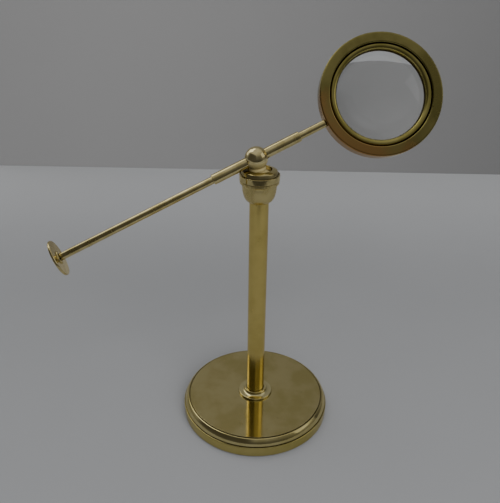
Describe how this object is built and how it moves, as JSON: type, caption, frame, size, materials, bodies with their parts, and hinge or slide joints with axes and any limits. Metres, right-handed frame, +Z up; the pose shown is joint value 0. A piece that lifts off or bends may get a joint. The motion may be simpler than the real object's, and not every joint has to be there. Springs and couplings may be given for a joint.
{
  "type": "stand magnifier",
  "caption": "Brass desk magnifier: round weighted base, pillar, clamped ball joint, and a sliding, turning arm with a ringed convex lens.",
  "frame": {"origin": "middle of the flat underside of the base", "axes": "+Z up the pillar; the arm lies in the XZ plane at rest, with the lens on the +X side and its front facing -Y"},
  "size_m": [0.2492, 0.108, 0.2699],
  "materials": {
    "polished_brass": "polished, lightly toned",
    "satin_brass": "turned, satin",
    "aged_brass": "polished, toned olive and brown",
    "iron": "as cast",
    "steel": "bright turned",
    "baize": "napped wool cloth",
    "leather": "greased",
    "glass": "clear, polished"
  },
  "bodies": {
    "stand": {"base_body": "polished_brass", "base_baize": "baize", "base_weight": "iron", "base_washer": "steel", "base_nut": "steel", "foot_collar": "polished_brass", "pillar_tube": "polished_brass", "pillar_foot_plug": "satin_brass", "pillar_head_plug": "satin_brass", "socket_cup": "polished_brass"},
    "cap": {"socket_cap": "polished_brass"},
    "seat": {"ball_seat": "leather"},
    "head": {"stem_ball": "satin_brass", "arm_ball": "polished_brass", "arm_sleeve": "polished_brass"},
    "liner": {"sleeve_liner": "leather"},
    "arm": {"slide_rod": "polished_brass", "knob_disc": "polished_brass", "lens_frame": "aged_brass", "lens_retainer": "aged_brass", "lens": "glass"}
  },
  "joints": [
    {"name": "cap_turn", "type": "hinge", "parent": "stand", "child": "cap", "pos_m": [0, 0, 0.186], "axis": [0, 0, 1], "range_deg": [0, 90]},
    {"name": "head_swivel", "type": "hinge", "parent": "stand", "child": "seat", "pos_m": [0, 0, 0.18205], "axis": [0, 0, 1], "continuous": true},
    {"name": "arm_tilt", "type": "hinge", "parent": "seat", "child": "head", "pos_m": [0, 0, 0.18205], "axis": [0, 1, 0], "range_deg": [-4, 23]},
    {"name": "arm_roll", "type": "hinge", "parent": "head", "child": "liner", "pos_m": [-0.00245, 0, 0.19847], "axis": [0.916, 0, 0.4011], "continuous": true},
    {"name": "arm_slide", "type": "slide", "parent": "liner", "child": "arm", "axis": [0.916, 0, 0.4011], "range_m": [-0.0179, 0.1047]}
  ]
}
